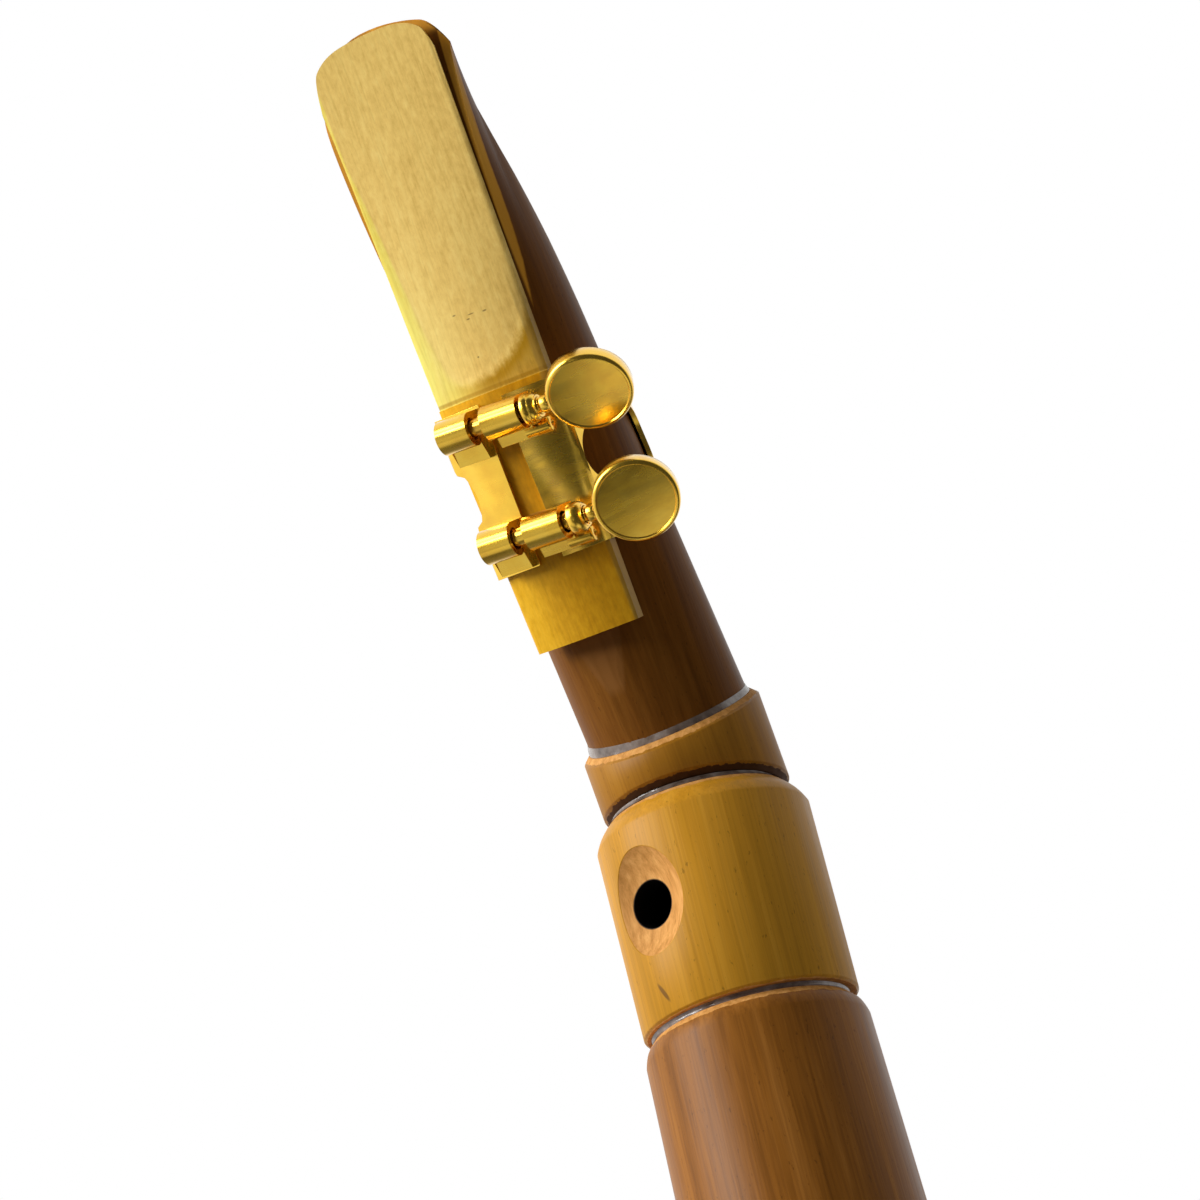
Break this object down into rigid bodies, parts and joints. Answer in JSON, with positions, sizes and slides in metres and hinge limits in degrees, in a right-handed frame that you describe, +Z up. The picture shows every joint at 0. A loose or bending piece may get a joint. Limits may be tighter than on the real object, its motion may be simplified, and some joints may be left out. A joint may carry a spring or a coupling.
{
  "type": "bamboo saxophone",
  "caption": "Keyless conical saxophone of glued bamboo tubes with a carved mouthpiece, an alto reed and a brass ligature with thumb screws",
  "frame": {"origin": "on the back of the body where the right thumb holds the instrument", "axes": "+Z up the straight body to the neck, -Y the player's side that the reed faces, +X the side of the ligature's thumb screws"},
  "size_m": [0.0782, 0.2336, 0.5887],
  "materials": {
    "dark_bamboo": "oiled satin",
    "olive_bamboo": "oiled satin",
    "light_bamboo": "oiled satin",
    "body_bamboo": "oiled satin",
    "glue": "gloss",
    "cane": "natural cane",
    "brass": "lacquered, brushed"
  },
  "bodies": {
    "instrument": {"mouthpiece": "dark_bamboo", "neck_collar": "olive_bamboo", "neck_tube": "light_bamboo", "upper_body": "body_bamboo", "middle_body": "body_bamboo", "lower_body": "body_bamboo", "bow_tube_1": "body_bamboo", "bow_tube_2": "body_bamboo", "bow_tube_3": "body_bamboo", "bell_stem": "body_bamboo", "bell": "body_bamboo", "glue_bead_1": "glue", "glue_bead_2": "glue", "glue_bead_3": "glue", "glue_bead_4": "glue", "glue_bead_5": "glue", "glue_bead_6": "glue", "glue_bead_7": "glue", "glue_bead_8": "glue", "glue_bead_9": "glue", "glue_bead_10": "glue"},
    "reed": {"reed": "cane"},
    "ligature": {"ligature_band": "brass", "upper_left_post": "brass", "upper_right_post": "brass", "lower_left_post": "brass", "lower_right_post": "brass"},
    "upper_collar": {"upper_screw_collar": "brass"},
    "lower_collar": {"lower_screw_collar": "brass"},
    "upper_screw": {"upper_thumb_screw": "brass"},
    "lower_screw": {"lower_thumb_screw": "brass"}
  },
  "joints": [
    {"name": "reed_slide", "type": "slide", "parent": "instrument", "child": "reed", "axis": [0.0109, -0.3962, 0.9181], "range_m": [0, 0.032]},
    {"name": "ligature_slide", "type": "slide", "parent": "instrument", "child": "ligature", "axis": [0.0109, -0.3962, 0.9181], "range_m": [-0.002, 0.008]},
    {"name": "upper_screw_travel", "type": "slide", "parent": "ligature", "child": "upper_collar", "axis": [0.9904, -0.1005, -0.0951], "range_m": [0, 0.0014]},
    {"name": "upper_screw_turn", "type": "hinge", "parent": "upper_collar", "child": "upper_screw", "pos_m": [-0.00175, -0.01324, 0.28003], "axis": [0.9904, -0.1005, -0.0951], "range_deg": [0, 720]},
    {"name": "lower_screw_travel", "type": "slide", "parent": "ligature", "child": "lower_collar", "axis": [0.9904, -0.1005, -0.0951], "range_m": [0, 0.0014]},
    {"name": "lower_screw_turn", "type": "hinge", "parent": "lower_collar", "child": "lower_screw", "pos_m": [-0.0019, -0.00801, 0.26791], "axis": [0.9904, -0.1005, -0.0951], "range_deg": [0, 720]}
  ],
  "couplings": [
    {"joint": "upper_screw_turn", "follows": "upper_screw_travel", "rad_per_m": 8976},
    {"joint": "lower_screw_turn", "follows": "lower_screw_travel", "rad_per_m": 8976}
  ]
}
